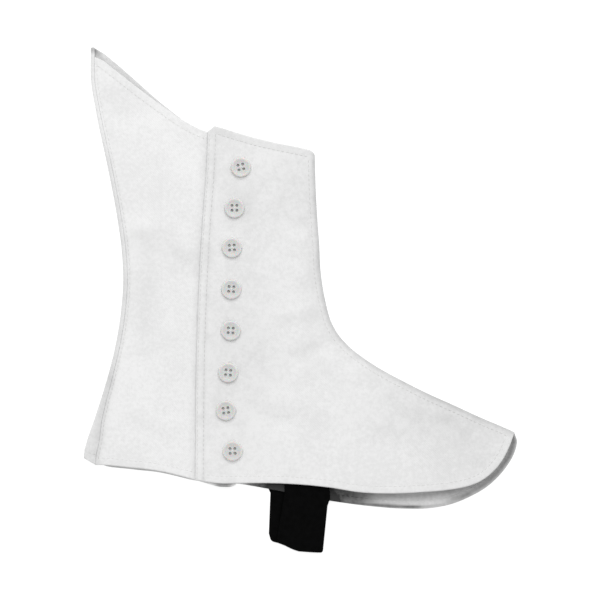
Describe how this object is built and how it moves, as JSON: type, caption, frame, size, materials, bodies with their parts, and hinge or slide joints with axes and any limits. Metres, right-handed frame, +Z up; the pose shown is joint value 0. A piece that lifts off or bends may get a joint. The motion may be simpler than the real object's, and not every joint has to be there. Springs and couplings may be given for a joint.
{
  "type": "spat",
  "caption": "White canvas spat that covers the ankle and instep, buttoned up the outer side, with an under-foot strap, laid flat on its inner side.",
  "frame": {"origin": "middle of the whole spat's box in plan, on the surface it lies on", "axes": "+X towards the toe, +Y towards the cuff and the peak, +Z up off the surface, through the buttoned outer side"},
  "size_m": [0.2776, 0.3238, 0.0099],
  "materials": {
    "canvas": "matt white cotton canvas, plain weave",
    "webbing": "matt black woven webbing",
    "button": "satin white plastic"
  },
  "bodies": {
    "root": {"inner_panel": "canvas", "outer_back": "canvas", "outer_front": "canvas", "strap": "webbing", "button_1": "button", "button_2": "button", "button_3": "button", "button_4": "button", "button_5": "button", "button_6": "button", "button_7": "button", "button_8": "button"}
  },
  "joints": []
}
